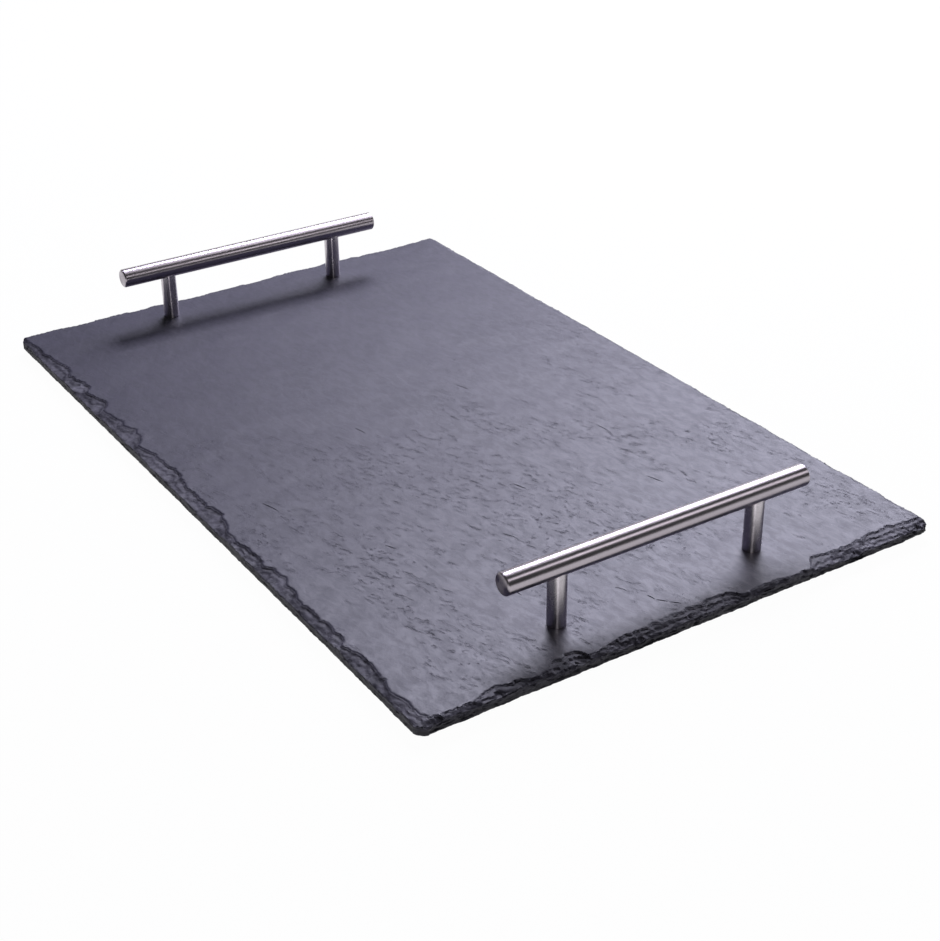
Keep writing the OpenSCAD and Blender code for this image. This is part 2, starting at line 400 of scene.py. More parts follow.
def lying_cylinder(radius, length, place):
    """A cylinder that lies along the board's width."""
    bpy.ops.object.select_all(action="DESELECT")
    bpy.ops.mesh.primitive_cylinder_add(
        vertices=ROUND_STEPS, radius=radius, depth=length, location=place, rotation=(math.pi / 2, 0, 0)
    )
    return settle(bpy.context.object)


def ring_edges(axis, place):
    """A test for the edges that lie flat across an axis at a place along it."""
    def wanted(edge):
        return all(abs(vertex.co[axis] - place) < EDGE_BREAK for vertex in edge.verts)
    return wanted


def copied(piece, home, node):
    """A copy of a piece with its own mesh, moved from its own CAD node's place to another's."""
    mesh = piece.data.copy()
    mesh.transform(Matrix.Translation(middle(node) - middle(home)))
    twin = bpy.data.objects.new(node, mesh)
    bpy.context.collection.objects.link(twin)
    return twin


def finish_piece(piece, name, material, nodes, crease):
    """Name a finished piece, dress it, and let it stand for its CAD nodes."""
    only(piece)
    bpy.ops.object.shade_smooth_by_angle(angle=math.radians(crease))
    piece.name = name
    piece.data.name = name
    piece.data.materials.clear()
    piece.data.materials.append(material)
    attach(piece, "root")
    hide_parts(*nodes)
    return piece


# Shader nodes


def new_material(name):
    """A material with one Principled shader, its node tree, and the shader."""
    material = bpy.data.materials.new(name)
    material.use_nodes = True
    tree = material.node_tree
    tree.nodes.clear()
    output = tree.nodes.new("ShaderNodeOutputMaterial")
    shader = tree.nodes.new("ShaderNodeBsdfPrincipled")
    tree.links.new(shader.outputs["BSDF"], output.inputs["Surface"])
    return material, tree, shader


def fill(tree, socket, value):
    """Give a socket a value, or link another node's output to it."""
    if isinstance(value, bpy.types.NodeSocket):
        tree.links.new(value, socket)
    else:
        socket.default_value = value


def add(tree, kind, inputs=None, **settings):
    """Add a shader node, with settings as attributes and inputs by name as values or links."""
    node = tree.nodes.new(kind)
    for key, value in settings.items():
        setattr(node, key, value)
    for key, value in (inputs or {}).items():
        fill(tree, node.inputs[key], value)
    return node


def object_place(tree):
    return add(tree, "ShaderNodeTexCoord").outputs["Object"]


def maths(tree, operation, a, b, clamp=False):
    return add(tree, "ShaderNodeMath", {0: a, 1: b}, operation=operation, use_clamp=clamp).outputs[0]


def times(tree, a, b):
    return maths(tree, "MULTIPLY", a, b)


def blend(tree, factor, a, b):
    """A number that goes from a to b as a factor goes from 0 to 1."""
    return add(tree, "ShaderNodeMix", {0: factor, 2: a, 3: b}, data_type="FLOAT").outputs[0]


def tint(tree, factor, a, b):
    """A colour that goes from a to b as a factor goes from 0 to 1."""
    return add(tree, "ShaderNodeMix", {0: factor, 6: a, 7: b}, data_type="RGBA").outputs[2]


def ramp(tree, value, low, high, to_low=0.0, to_high=1.0):
    """Carry a value smoothly from one range to another."""
    inputs = {"Value": value, "From Min": low, "From Max": high, "To Min": to_low, "To Max": to_high}
    return add(tree, "ShaderNodeMapRange", inputs, interpolation_type="SMOOTHSTEP").outputs["Result"]


def stretched(tree, place, scale):
    """Coordinates scaled, so that a pattern is drawn out along the axes whose scale is small."""
    return add(tree, "ShaderNodeMapping", {"Vector": place, "Scale": scale}).outputs["Vector"]


def turned(tree, degrees, scale):
    """Object coordinates turned about the vertical and stretched, for a pattern that runs one way."""
    inputs = {"Vector": object_place(tree), "Angle": math.radians(-degrees)}
    along = add(tree, "ShaderNodeVectorRotate", inputs, rotation_type="Z_AXIS").outputs["Vector"]
    return stretched(tree, along, scale)


def noise(tree, vector, scale, detail, rough, twist=0.0):
    inputs = {"Vector": vector, "Scale": scale, "Detail": detail, "Roughness": rough, "Distortion": twist}
    return add(tree, "ShaderNodeTexNoise", inputs).outputs["Fac"]


def bump(tree, height, strength, distance, normal=None):
    """A normal tilted by a height, over another normal where there is one."""
    inputs = {"Height": height, "Strength": strength, "Distance": distance}
    if normal is not None:
        inputs["Normal"] = normal
    return add(tree, "ShaderNodeBump", inputs).outputs["Normal"]


# Finishes


def riven_patterns(tree, place):
    """Mottling, streaks along the grain, mica, and loose bands of clefts that thin out to the rear."""
    along_board = add(tree, "ShaderNodeSeparateXYZ", {0: place}).outputs["X"]
    toward_front = ramp(tree, along_board, -0.2, 0.12)
    cloudy = noise(tree, place, 14, 3, 0.55)
    patchy = noise(tree, turned(tree, 4, (0.5, 1, 1)), 190, 6, 0.66, 0.5)
    rear_streaks = noise(tree, turned(tree, -30, (0.12, 1, 1)), 300, 4, 0.6)
    front_streaks = noise(tree, turned(tree, 12, (0.22, 1, 1)), 380, 4, 0.62, 0.3)
    streaky = blend(tree, toward_front, rear_streaks, front_streaks)
    specks = noise(tree, place, 1500, 2, 0.5)

    # A cleft is a short dash where a thin lamina ends, with a small lip beside it: the dash carries painted
    # shade and the lip a painted highlight
    grid = turned(tree, 21, (0.21, 1, 1))
    beside = add(tree, "ShaderNodeMapping", {"Vector": grid, "Location": (0, 0.6 * MM, 0)}).outputs["Vector"]
    dashes = noise(tree, grid, 740, 3, 0.6, 0.9)
    lips = noise(tree, beside, 740, 3, 0.6, 0.9)
    cluster = noise(tree, turned(tree, 6, (0.4, 1, 1)), 46, 3, 0.6)
    open_here = times(tree, ramp(tree, cluster, 0.40, 0.62), ramp(tree, toward_front, 0, 1, 0.3, 1))
    cleft = times(tree, ramp(tree, dashes, 0.60, 0.68), open_here)
    lip = times(tree, ramp(tree, lips, 0.59, 0.68), open_here)
    lip = maths(tree, "SUBTRACT", lip, cleft, clamp=True)
    return Riven(cloudy, patchy, streaky, specks, cleft, lip)


def broken_patterns(tree, place, height):
    """The band between the two faces where the stone is broken, its split sheets and its grit."""
    under_top = ramp(tree, height, SLATE_HIGH.z - 1.0 * MM, SLATE_HIGH.z - 0.65 * MM, 1.0, 0.0)
    over_bottom = ramp(tree, height, SLATE_LOW.z + 0.5 * MM, SLATE_LOW.z + 0.9 * MM)
    sheets = noise(tree, stretched(tree, place, (0.3, 0.3, 1.8)), 420, 5, 0.62)
    grit = noise(tree, place, 700, 5, 0.6)
    return Broken(times(tree, under_top, over_bottom), sheets, grit)


def slate_colour(tree, height, riven, broken):
    """The riven face's violet grey, painted shade in its clefts and a painted highlight on their lips, and
    where the stone is broken a paler grey darkened low down by painted shade.
    """
    stone = tint(tree, ramp(tree, riven.cloudy, 0.35, 0.65), DEEP_STONE, CLOUDED_STONE)
    stone = tint(tree, ramp(tree, riven.patchy, 0.36, 0.66), stone, PALE_STONE)
    stone = tint(tree, ramp(tree, riven.streaky, 0.52, 0.72, 0, 0.45), stone, STREAKED_STONE)
    stone = tint(tree, ramp(tree, riven.specks, 0.7, 0.78, 0, 0.5), stone, MICA)
    # Painted highlight on each cleft's lip and painted shade in the cleft itself
    stone = tint(tree, times(tree, riven.lip, 0.6), stone, CLEFT_LIP_PAINTED_HIGHLIGHT)
    stone = tint(tree, times(tree, riven.cleft, 0.6), stone, CLEFT_PAINTED_SHADE)

    rubble = tint(tree, ramp(tree, broken.sheets, 0.35, 0.66), BROKEN_DARK, BROKEN_PALE)
    # Painted shade: the broken stone is darkened towards the bottom of the slab
    painted_shade_low = ramp(tree, height, SLATE_LOW.z + 2.0 * MM, SLATE_LOW.z + 3.8 * MM, 1.0, 0.0)
    rubble = tint(tree, times(tree, painted_shade_low, 0.8), rubble, BROKEN_PAINTED_SHADE)
    return tint(tree, broken.band, stone, rubble)


def slate_roughness(tree, riven, broken):
    """A soft sheen that varies with the mottling, duller in the clefts and where the stone is broken."""
    sheen = ramp(tree, riven.patchy, 0.3, 0.7, 0.52, 0.43)
    sheen = maths(tree, "ADD", sheen, ramp(tree, riven.specks, 0.3, 0.7, -0.03, 0.03))
    sheen = maths(tree, "ADD", sheen, times(tree, riven.cleft, 0.2))
    return blend(tree, broken.band, sheen, 0.56)


def slate_relief(tree, riven, broken):
    """The fine relief: swells, streaks, cleft lines and specks, and sheets and grit in the broken stone."""
    relief = bump(tree, riven.patchy, 0.4, 0.3 * MM)
    relief = bump(tree, riven.streaky, 0.36, 0.12 * MM, relief)
    relief = bump(tree, maths(tree, "SUBTRACT", riven.lip, riven.cleft), 0.8, 0.14 * MM, relief)
    relief = bump(tree, riven.specks, 0.3, 0.04 * MM, relief)
    relief = bump(tree, times(tree, broken.sheets, broken.band), 0.4, 0.6 * MM, relief)
    return bump(tree, times(tree, broken.grit, broken.band), 0.3, 0.2 * MM, relief)


def slate_finish():
    """Riven violet-grey slate, with fresher, rougher stone where the edge is dressed."""
    material, tree, shader = new_material("slate")
    place = object_place(tree)
    height = add(tree, "ShaderNodeSeparateXYZ", {0: place}).outputs["Z"]
    riven = riven_patterns(tree, place)
    broken = broken_patterns(tree, place, height)
    shader.inputs["IOR"].default_value = 1.52
    tree.links.new(slate_colour(tree, height, riven, broken), shader.inputs["Base Color"])
    tree.links.new(slate_roughness(tree, riven, broken), shader.inputs["Roughness"])
    tree.links.new(ramp(tree, broken.band, 0, 1, 0.5, 0.42), shader.inputs["Specular IOR Level"])
    tree.links.new(slate_relief(tree, riven, broken), shader.inputs["Normal"])
    return material


def brushed_steel(name, axis, tone, sheen, stretch):
    """Stainless steel brushed round its circumference, so that reflections spread along its length."""
    material, tree, shader = new_material(name)
    place = object_place(tree)
    squeeze = {"Y": (0.06, 1, 0.06), "Z": (0.06, 0.06, 1)}[axis]
    along = stretched(tree, place, squeeze)
    fine = noise(tree, along, 5200, 3, 0.6)
    broad = noise(tree, along, 900, 3, 0.6)
    smudge = noise(tree, place, 70, 3, 0.5)
    dark, dull, bright = (tuple(c * share for c in tone) + (1,) for share in (0.86, 0.9, 1))
    steel = tint(tree, ramp(tree, fine, 0.3, 0.7), dark, bright)
    steel = tint(tree, ramp(tree, broad, 0.45, 0.75, 0, 0.35), steel, dull)
    tangent = add(tree, "ShaderNodeCombineXYZ", {axis: 1.0}).outputs[0]
    shader.inputs["Metallic"].default_value = 1.0
    shader.inputs["Anisotropic"].default_value = stretch
    tree.links.new(steel, shader.inputs["Base Color"])
    tree.links.new(ramp(tree, smudge, 0.3, 0.7, sheen - 0.03, sheen + 0.03), shader.inputs["Roughness"])
    tree.links.new(tangent, shader.inputs["Tangent"])
    tree.links.new(bump(tree, fine, 0.12, 0.02 * MM), shader.inputs["Normal"])
    return material


def plated_steel():
    """Zinc-plated steel of the studs, screws and washers."""
    material, tree, shader = new_material("plated_fastener")
    place = object_place(tree)
    bloom = noise(tree, place, 420, 4, 0.6)
    pits = noise(tree, place, 2600, 3, 0.6)
    zinc = tint(tree, ramp(tree, bloom, 0.35, 0.65), ZINC_DULL, ZINC_BRIGHT)
    shader.inputs["Metallic"].default_value = 1.0
    tree.links.new(zinc, shader.inputs["Base Color"])
    tree.links.new(ramp(tree, pits, 0.3, 0.7, 0.3, 0.42), shader.inputs["Roughness"])
    tree.links.new(bump(tree, pits, 0.3, 0.03 * MM), shader.inputs["Normal"])
    return material


def rubber():
    """Dark moulded rubber of the bumper feet."""
    material, tree, shader = new_material("rubber_foot")
    place = object_place(tree)
    dust = noise(tree, place, 260, 4, 0.6)
    pores = noise(tree, place, 3200, 2, 0.5)
    tone = tint(tree, ramp(tree, dust, 0.4, 0.7), RUBBER_BLACK, RUBBER_DUSTY)
    tree.links.new(tone, shader.inputs["Base Color"])
    tree.links.new(ramp(tree, dust, 0.3, 0.7, 0.62, 0.78), shader.inputs["Roughness"])
    tree.links.new(bump(tree, pores, 0.3, 0.04 * MM), shader.inputs["Normal"])
    return material


# The slate: the blank


def on_side(place):
    """Whether a point lies on the slab's rim, which its corners carry further in."""
    gap_x = HALF_LENGTH - abs(place.x)
    gap_y = HALF_WIDTH - abs(place.y)
    nearness = max(0.0, 1 - max(gap_x, gap_y) / CORNER_SPREAD)
    return min(gap_x, gap_y) < CORNER_ALLOWANCE * CORNER_KNOCK * nearness ** 2 + HAIR


def near_rim(face):
    """Whether a face lies in the band that the dressing breaks, and not on the underside."""
    place = face.calc_center_median()
    gap = min(HALF_LENGTH - abs(place.x), HALF_WIDTH - abs(place.y))
    return place.z > SLATE_LOW.z + HAIR and gap < EDGE_BAND


def corner_edge(x, y):
    """A test for the upright edges at one corner of the blank."""
    def wanted(edge):
        return all(abs(v.co.x - x) < HAIR and abs(v.co.y - y) < HAIR for v in edge.verts)
    return wanted


def blank():
    """The sawn blank: a gridded slab, finer round its rim, with its corners knocked in."""
    bpy.ops.object.select_all(action="DESELECT")
    bpy.ops.mesh.primitive_grid_add(
        x_subdivisions=round(SLATE_LENGTH / GRID_PITCH),
        y_subdivisions=round(SLATE_WIDTH / GRID_PITCH),
        size=1,
        location=(0, 0, SLATE_HIGH.z),
    )
    piece = bpy.context.object
    piece.scale = (SLATE_LENGTH, SLATE_WIDTH, 1)
    settle(piece)
    pick(piece, lambda face: True)
    for _ in range(LAYERS):
        drop = (0, 0, -SLATE_THICKNESS / LAYERS)
        bpy.ops.mesh.extrude_region_move(TRANSFORM_OT_translate={"value": drop})
    bpy.ops.mesh.select_all(action="SELECT")
    bpy.ops.mesh.normals_make_consistent(inside=False)
    leave_edit()
    pick(piece, near_rim)
    bpy.ops.mesh.subdivide(number_cuts=RIM_CUTS, ngon=False)
    leave_edit()
    for sign_x, sign_y, knock in CORNER_KNOCKS:
        pick(piece, corner_edge(sign_x * HALF_LENGTH, sign_y * HALF_WIDTH), "EDGE")
        bpy.ops.transform.translate(
            value=(-sign_x * knock, -sign_y * knock, 0),
            use_proportional_edit=True,
            proportional_edit_falloff="SHARP",
            proportional_size=CORNER_SPREAD,
        )
        leave_edit()
    return piece


# The slate: where and how deep the dressing has broken it


def grain(x, y, size, layer, octaves=4):
    """Smooth seeded roughness between about -1 and 1, with lumps of the given size."""
    return fractal(Vector((x / size, y / size, layer)), GRAIN_FADE, GRAIN_STEP, octaves)


def rough_at(x, y):
    """The roughness of the broken stone at a place."""
    wanders = [grain(x, y, COARSE[0], layer) for layer in LEDGE_LAYERS]
    return Rough(grain(x, y, *COARSE), grain(x, y, *FINE), wanders)


def step_up(value, rise):
    """A value that climbs from 0 to 1 over a short rise."""
    share = min(1.0, max(0.0, value / rise))
    return share * share * (3 - 2 * share)


def between(ends, share):
    """A value a share of the way from the first of two to the second."""
    return ends[0] + (ends[1] - ends[0]) * share


def strike(start, width, reach_share, side_share, stepped):
    """One scar of the hammer, a little off the middle of its stretch of the side and wider than it."""
    deepened = between(SCAR_DEEPENED_BY_REACH, side_share) * between(SCAR_DEEPENED_BY_STEPS, stepped)
    return Scar(
        middle=start + width * dice.uniform(*SCAR_MIDDLE),
        half_width=width * dice.uniform(*SCAR_HALF_WIDTH),
        reach=SCAR_REACH * reach_share * side_share,
        depth=dice.uniform(*SCAR_DEPTH) * deepened,
        lip=dice.uniform(*SCAR_LIP),
        lean=dice.uniform(*SCAR_LEAN),
    )


def dressed_side(corner, ahead, length, flakes, side_share, stepped):
    """A side and its scars, from its start corner on.

    side_share is how far and deep the scars go, and stepped how much of the side broke in steps.
    """
    total = sum(width for width, _ in flakes)
    start = 0.0
    scars = []
    for width_share, reach_share in flakes:
        width = length * width_share / total
        scars.append(strike(start, width, reach_share, side_share, stepped))
        start += width
    return Side(Vector(corner), Vector(ahead), Vector((-ahead[1], ahead[0])), scars, stepped)


def dress_sides():
    """The left, front, right and rear sides. The photograph shows the first two, and they broke deeper."""
    return (
        dressed_side((-HALF_LENGTH, -HALF_WIDTH), (1, 0), SLATE_LENGTH, LEFT_FLAKES, 1.0, 0.15),
        dressed_side((HALF_LENGTH, -HALF_WIDTH), (0, 1), SLATE_WIDTH, FRONT_FLAKES, 1.0, 0.8),
        dressed_side((HALF_LENGTH, HALF_WIDTH), (-1, 0), SLATE_LENGTH, LEFT_FLAKES[::-1], 0.45, 0.4),
        dressed_side((-HALF_LENGTH, HALF_WIDTH), (0, -1), SLATE_WIDTH, FRONT_FLAKES[::-1], 0.4, 0.4),
    )


def rim_of(scar, number, stepped, along, across, fine):
    """How far in from the outline a scar's rim stands, at a place from -1 to 1 across the scar."""
    tooth = (across + 1) / 2
    if tooth < TOOTH_PEAK:
        notch = (tooth / TOOTH_PEAK) ** TOOTH_CURVE
    else:
        notch = math.sqrt(1 - ((tooth - TOOTH_PEAK) / (1 - TOOTH_PEAK)) ** 2)
    scoop = (1 - abs(across) ** SCOOP_INNER_CURVE) ** SCOOP_OUTER_CURVE
    rim = scar.reach * (scoop + (TOOTH_HEIGHT * notch - scoop) * TOOTH_SHARE * (1 - stepped))
    rim *= 1 + RIM_WANDER * grain(along, number * RIM_STRIDE, RIM_LUMPS, stepped)
    return rim + between(RIM_RAGGED, stepped) * fine


def ledges(scar, stepped, inside, rough):
    """How far a scar's ledges have dropped at a distance inside its rim."""
    count, first = STEPPED_LEDGES if stepped > MOSTLY_STEPPED else CLEAN_LEDGES
    shelf = scar.lip * between(SHELF_SHARE, stepped)
    drop = 0.0
    for number in range(count):
        back = number * STEP_BACK * (STEP_SPREAD + rough.wanders[number])
        rise = shelf * (first if number == 0 else (1 - first) / (count - 1))
        drop += rise * step_up(inside - back, between(LEDGE_RISE, stepped))
    return drop


def scar_depth(scar, number, stepped, along, inset, rough):
    """How deep one scar is at a place that lies along its side and inset from the outline."""
    across = (along - scar.middle) / scar.half_width
    across += scar.lean * TOOTH_LEAN * (1 - across * across)
    if abs(across) >= 1:
        return 0.0
    rim = rim_of(scar, number, stepped, along, across, rough.fine)
    inside = rim - inset
    if inside <= 0:
        return 0.0
    slope = (inside / max(rim, MM)) ** SHELF_CURVE
    blow = math.hypot(along - scar.middle, inset * RIPPLE_STRETCH)
    depth = (scar.depth - scar.lip) * slope + ledges(scar, stepped, inside, rough)
    depth += RIPPLE_DEPTH * math.sin(blow / RIPPLE_LENGTH + RIPPLE_DRIFT * rough.coarse) * slope
    depth += between(FLOOR_ROUGH, stepped) * rough.coarse * step_up(inside, FLOOR_RISE)
    return depth + FLOOR_CRUMBS * rough.fine * step_up(inside, MM)


def nibbled(inset, rough):
    """How deep the small chips along the outline are."""
    inside = NIBBLE_REACH + NIBBLE_COARSE * rough.coarse + NIBBLE_FINE * rough.fine - inset
    share = NIBBLE_SHARE + NIBBLE_SHARE_COARSE * rough.coarse
    return NIBBLE_DEPTH * step_up(inside, NIBBLE_RISE) * share


def terraced(depth, stepped, x, y, fine):
    """A depth drawn towards the level ledges of the slate's laminae, where the side broke stepped."""
    drift = LEDGE_DRIFT * grain(x, y, *DRIFT) + LEDGE_JITTER * fine
    level = depth / LAMINA + drift
    whole = math.floor(level)
    ledge = (whole + step_up(level - whole - LEDGE_SHARE, 1 - LEDGE_SHARE) - drift) * LAMINA
    return depth + (ledge - depth) * stepped * step_up(depth, LAMINA)


def broken_depth(sides, x, y):
    """How far below the riven face the dressing has broken the stone at a place near the outline."""
    rough = rough_at(x, y)
    deepest = 0.0
    most_stepped = 0.0
    for side in sides:
        here = Vector((x, y)) - side.corner
        inset = here.dot(side.inward)
        if inset > EDGE_BAND:
            continue
        most_stepped = max(most_stepped, side.stepped)
        deepest = max(deepest, nibbled(inset, rough))
        for number, scar in enumerate(side.scars):
            depth = scar_depth(scar, number, side.stepped, here.dot(side.ahead), inset, rough)
            deepest = max(deepest, depth)
    if deepest <= 0:
        return 0.0
    return min(max(terraced(deepest, most_stepped, x, y, rough.fine), 0.0), DEEPEST_BREAK)


def side_grain(x, y, z, lumps, per_height, layer, octaves):
    """Seeded roughness that changes with height too, for the rim."""
    return grain(x, y, lumps, z / MM * per_height + layer, octaves)


def driven_in(x, y, z, up):
    """The share of SIDE_RAGGED by which the rim stands back at a place, more on the short and right sides."""
    sheet = side_grain(x, y, z, *SIDE_SHEETS)
    crumb = side_grain(x, y, z, *SIDE_CRUMBS)
    notch = side_grain(x, y, z, *SIDE_NOTCHES)
    if HALF_LENGTH - abs(x) < MM:
        roughness = SHORT_SIDE_ROUGHNESS
    else:
        roughness = RIGHT_SIDE_ROUGHNESS if y > 0 else 1.0
    stray = SHEET_STRAY * sheet + NOTCH_STRAY * notch * (roughness - 1) + between(CRUMB_STRAY, up) * crumb
    share = SIDE_BACK + SIDE_BACK_IF_ROUGH * roughness + SIDE_BACK_UPWARDS * up + stray * roughness
    return min(1.0, max(0.0, share))


# The slate: pushing the blank into shape


def weigh(piece, name, shares):
    """A vertex group from a table of vertex number to share."""
    group = piece.vertex_groups.new(name=name)
    for index, share in shares.items():
        group.add([index], share, "REPLACE")
    return name


def riven_face(piece, name, height, calm_places):
    """A vertex group of one face of the slab that fades out round the places that carry other pieces."""
    shares = {}
    for vertex in piece.data.vertices:
        if abs(vertex.co.z - height) < HAIR:
            nearest = min((vertex.co.xy - place.xy).length for place in calm_places)
            share = min(1.0, max(0.0, (nearest - CALM_RADIUS) / CALM_FADE))
            shares[vertex.index] = round(share * CALM_RINGS) / CALM_RINGS
    return weigh(piece, name, shares)


def edge_shares(piece):
    """Each vertex's share of the deepest break, and each rim vertex's share of the way it is driven in."""
    sides = dress_sides()
    broken, driven, found = {}, {}, {}
    for vertex in piece.data.vertices:
        x, y, z = vertex.co
        if min(HALF_LENGTH - abs(x), HALF_WIDTH - abs(y)) > EDGE_BAND:
            continue
        up = (z - SLATE_LOW.z) / SLATE_THICKNESS
        place = (round(x / MM, 3), round(y / MM, 3))
        if place not in found:
            found[place] = broken_depth(sides, x, y)
        if z > SLATE_LOW.z + HAIR:
            broken[vertex.index] = found[place] / DEEPEST_BREAK * up
        if on_side(vertex.co):
            driven[vertex.index] = driven_in(x, y, z, up)
    return broken, driven


def clouds(name, size, depth):
    """A cloudy texture that a Displace modifier reads in real sizes."""
    texture = bpy.data.textures.new(name, "CLOUDS")
    texture.noise_scale = size
    texture.noise_depth = depth
    return texture


def split_sheets():
    """A cloudy texture in level steps, for the thin sheets that a riven face is left with."""
    texture = clouds("sheets", SHEET_SIZE, 4)
    texture.use_color_ramp = True
    steps = texture.color_ramp
    steps.interpolation = "CONSTANT"
    steps.elements[0].color = (0, 0, 0, 1)
    for place, level in SHEET_LEVELS:
        steps.elements.new(place).color = (level, level, level, 1)
    steps.elements[-1].color = WHITE
    return texture


def displace(piece, texture, strength, direction, group):
    """Push a vertex group along an axis, evenly or by a texture's height."""
    push = piece.modifiers.new("push", "DISPLACE")
    push.texture = texture
    push.texture_coords = "GLOBAL"
    push.strength = strength
    push.mid_level = 0
    push.direction = direction
    push.vertex_group = group
    apply_modifiers(piece)


def drive_sides_in(piece, driven):
    """Push the short sides in along the length, then the long ones across it."""
    for axis, half in enumerate((HALF_LENGTH, HALF_WIDTH)):
        low, high = {}, {}
        for index, share in driven.items():
            place = piece.data.vertices[index].co[axis]
            if half - abs(place) < CORNER_SPREAD / 2:
                (low if place < 0 else high)[index] = share
        name = "XY"[axis]
        displace(piece, None, SIDE_RAGGED, name, weigh(piece, "low_" + name, low))
        displace(piece, None, -SIDE_RAGGED, name, weigh(piece, "high_" + name, high))


def slab():
    """The blank riven on both faces, its edge broken back scar by scar and its sides left ragged."""
    piece = blank()
    posts = [middle(f"{corner}_post") for corner in CORNERS]
    feet = [middle(f"{corner}_foot") for corner in CORNERS]
    above = riven_face(piece, "riven_top", SLATE_HIGH.z, posts)
    below = riven_face(piece, "riven_bottom", SLATE_LOW.z, posts + feet)
    broken, driven = edge_shares(piece)
    edge = weigh(piece, "broken_edge", broken)
    drive_sides_in(piece, driven)
    displace(piece, None, -DEEPEST_BREAK, "Z", edge)
    swell = clouds("swell", SWELL_SIZE, 2)
    sheets = split_sheets()
    for face, sign in ((above, -1), (below, 1)):
        displace(piece, swell, sign * RELIEF_DEPTH, "Z", face)
        displace(piece, sheets, sign * STEP_DEPTH, "Z", face)
    return piece


# The slate: its holes and open clefts


def drill(piece):
    """Bore the screws' clearance holes and their washers' recesses from below."""
    bottom = SLATE_LOW.z - MM
    top = SLATE_HIGH.z + MM
    washers = [upright(f"{corner}_washer") for corner in CORNERS]
    bore = SCREW_RADIUS + SLATE_HOLE_GAP
    cut(piece, joined([cylinder(bore, bottom, top, at.x, at.y, BORE_STEPS) for at in washers]))
    cut(piece, joined([cylinder(RECESS_RADIUS, bottom, at.high, at.x, at.y, RECESS_STEPS) for at in washers]))


def spindle(x, y, degrees, length, width):
    """A shallow spindle in the top face, drawn in towards its tips, each ring a little off its line."""
    bpy.ops.mesh.primitive_cube_add(size=1, location=(0, 0, 0))
    piece = bpy.context.object
    pick(piece, lambda face: True)
    bpy.ops.mesh.subdivide(number_cuts=CLEFT_CUTS)
    leave_edit()
    for place, share in CLEFT_RINGS:
        for ring in (-place, place):
            pick(piece, lambda vertex: abs(vertex.co.x - ring) < 0.01, "VERT")
            bend = CLEFT_BEND * share * dice.uniform(-1, 1)
            bpy.ops.transform.resize(value=(1, share, 1))
            bpy.ops.transform.translate(value=(0, bend, 0))
            leave_edit()
    piece.scale = (length, width, 2 * CLEFT_DEPTH)
    piece.rotation_euler = (0, 0, math.radians(degrees))
    piece.location = (x, y, SLATE_HIGH.z - CLEFT_SINK * CLEFT_DEPTH)
    return settle(piece)


def slate():
    """The whole slab: riven, dressed and drilled, with its open clefts."""
    piece = slab()
    drill(piece)
    cut(piece, joined([spindle(*cleft) for cleft in OPEN_CLEFTS]))
    return piece


# The steel and the hardware


def bar(end):
    """A turned bar with chamfered ends, tapped from below for its two studs."""
    low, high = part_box(f"{end}_bar")
    radius = (high.x - low.x) / 2
    place = ((low.x + high.x) / 2, (low.y + high.y) / 2, low.z + radius)
    piece = lying_cylinder(radius, high.y - low.y, place)
    for tip in (low.y, high.y):
        pick(piece, ring_edges(1, tip), "EDGE")
        bpy.ops.mesh.bevel(offset=BAR_CHAMFER, segments=1, affect="EDGES")
        leave_edit()
    for ring in (low.y, low.y + BAR_CHAMFER, high.y - BAR_CHAMFER, high.y):
        pick(piece, ring_edges(1, ring), "EDGE")
        bpy.ops.mesh.bevel(offset=EDGE_BREAK, segments=2, affect="EDGES")
        leave_edit()
    pick(piece, lambda face: abs(face.normal.y) > FACING and len(face.verts) == ROUND_STEPS)
    for share in BAR_END_INSETS:
        bpy.ops.mesh.inset(thickness=radius * share)
    leave_edit()
    for side in ("left", "right"):
        stud = upright(f"{end}_{side}_bar_stud")
        bore = stud.radius + TAPPED_GAP
        cut(piece, cylinder(bore, low.z - MM, stud.high + TAPPED_GAP, stud.x, stud.y, BORE_STEPS))
    return piece


def post(corner):
    """A turned post, its top cut to a saddle that the bar lies in, tapped at both ends."""
    at = upright(f"{corner}_post")
    piece = cylinder(at.radius, at.low, at.high + at.radius, at.x, at.y)
    pick(piece, ring_edges(2, at.low), "EDGE")
    bpy.ops.mesh.bevel(offset=POST_FOOT_BREAK, segments=3, affect="EDGES")
    leave_edit()

    bar_low, bar_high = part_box(corner.split("_")[0] + "_bar")
    bar_radius = (bar_high.x - bar_low.x) / 2
    cut(piece, lying_cylinder(bar_radius, 4 * at.radius, (at.x, at.y, bar_low.z + bar_radius)))
    pick(piece, lambda face: face.calc_center_median().z > at.high + HAIR)
    bpy.ops.mesh.delete(type="FACE")
    leave_edit()

    stud = upright(f"{corner}_bar_stud")
    bore = stud.radius + TAPPED_GAP
    cut(piece, cylinder(bore, stud.low - TAPPED_GAP, at.high + at.radius, at.x, at.y, BORE_STEPS))
    shank = upright(f"{corner}_screw")
    cut(piece, cylinder(SCREW_RADIUS + TAPPED_GAP, at.low - MM, shank.high + MM, at.x, at.y, BORE_STEPS))
    return piece


